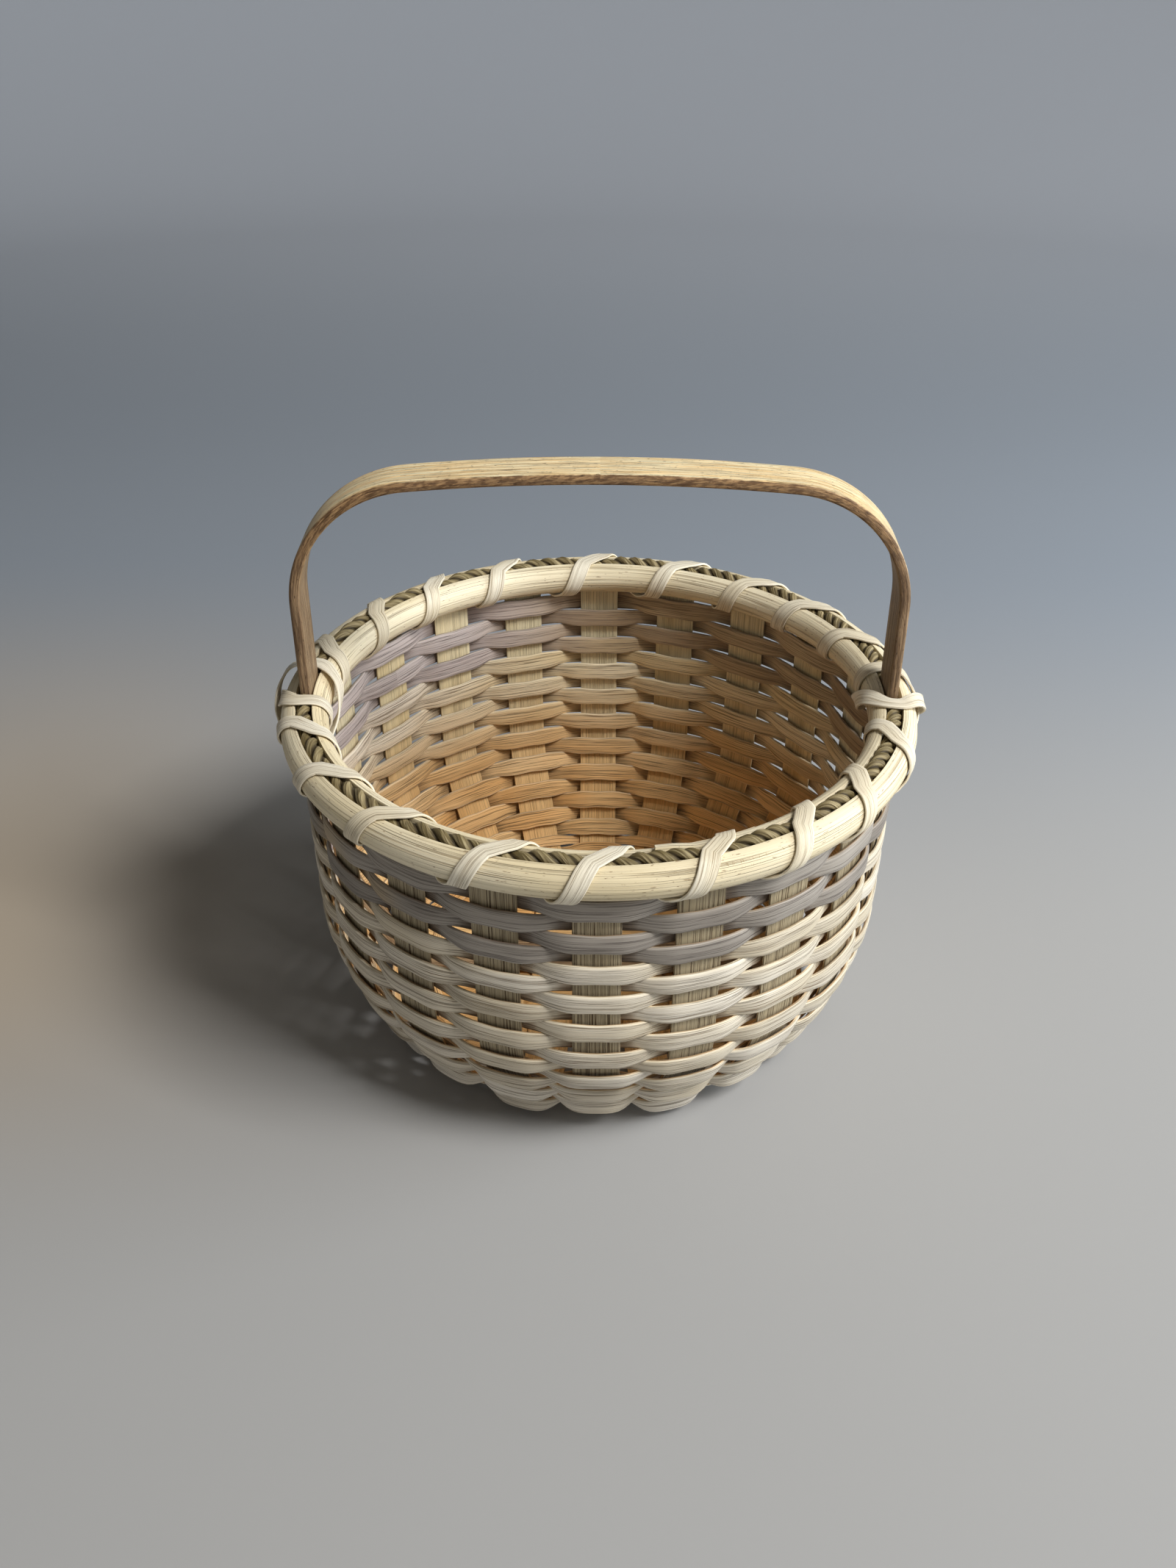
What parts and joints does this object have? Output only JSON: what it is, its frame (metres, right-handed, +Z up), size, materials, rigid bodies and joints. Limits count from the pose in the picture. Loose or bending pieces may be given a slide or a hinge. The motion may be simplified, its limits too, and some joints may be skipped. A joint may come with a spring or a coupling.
{
  "type": "round basket",
  "caption": "Round reed basket with flat stakes, over-and-under weaving, a lashed half-round hoop rim and a fixed bentwood handle.",
  "frame": {"origin": "on the floor, under the middle of the base", "axes": "+Z up; the handle spans from +X to -X; the basket is seen from -Y in its usual view"},
  "size_m": [0.2418, 0.237, 0.2226],
  "materials": {
    "natural_reed": "raw flat reed with fine lengthwise fibres",
    "dyed_reed": "raw reed dyed grey-lilac",
    "hoop_reed": "smooth half-round reed, cream, with small dark flecks",
    "lashing_reed": "pale flat reed with visible fibres",
    "seagrass": "twisted dry grass rope",
    "handle_oak": "bent hardwood, sanded face and rougher darker edges"
  },
  "bodies": {
    "root": {"spoke_across_01": "natural_reed", "spoke_along_01": "natural_reed", "spoke_across_02": "natural_reed", "spoke_along_02": "natural_reed", "spoke_across_03": "natural_reed", "spoke_along_03": "natural_reed", "spoke_across_04": "natural_reed", "spoke_along_04": "natural_reed", "spoke_across_05": "natural_reed", "spoke_along_05": "natural_reed", "wall_row_01": "dyed_reed", "wall_row_02": "dyed_reed", "wall_row_03": "dyed_reed", "wall_row_04": "dyed_reed", "wall_row_05": "natural_reed", "wall_row_06": "natural_reed", "wall_row_07": "natural_reed", "wall_row_08": "natural_reed", "wall_row_09": "natural_reed", "wall_row_10": "natural_reed", "wall_row_11": "natural_reed", "wall_row_12": "natural_reed", "wall_row_13": "natural_reed", "wall_row_14": "natural_reed", "wall_row_15": "natural_reed", "wall_row_16": "natural_reed", "wall_row_17": "natural_reed", "wall_row_18": "natural_reed", "base_row_01": "natural_reed", "base_row_02": "natural_reed", "base_row_03": "natural_reed", "rim_row": "dyed_reed", "outer_rim_hoop": "hoop_reed", "inner_rim_hoop": "hoop_reed", "rim_filler_back": "seagrass", "rim_filler_front": "seagrass", "rim_lashing": "lashing_reed", "handle": "handle_oak", "base_row_04": "natural_reed"}
  },
  "joints": []
}
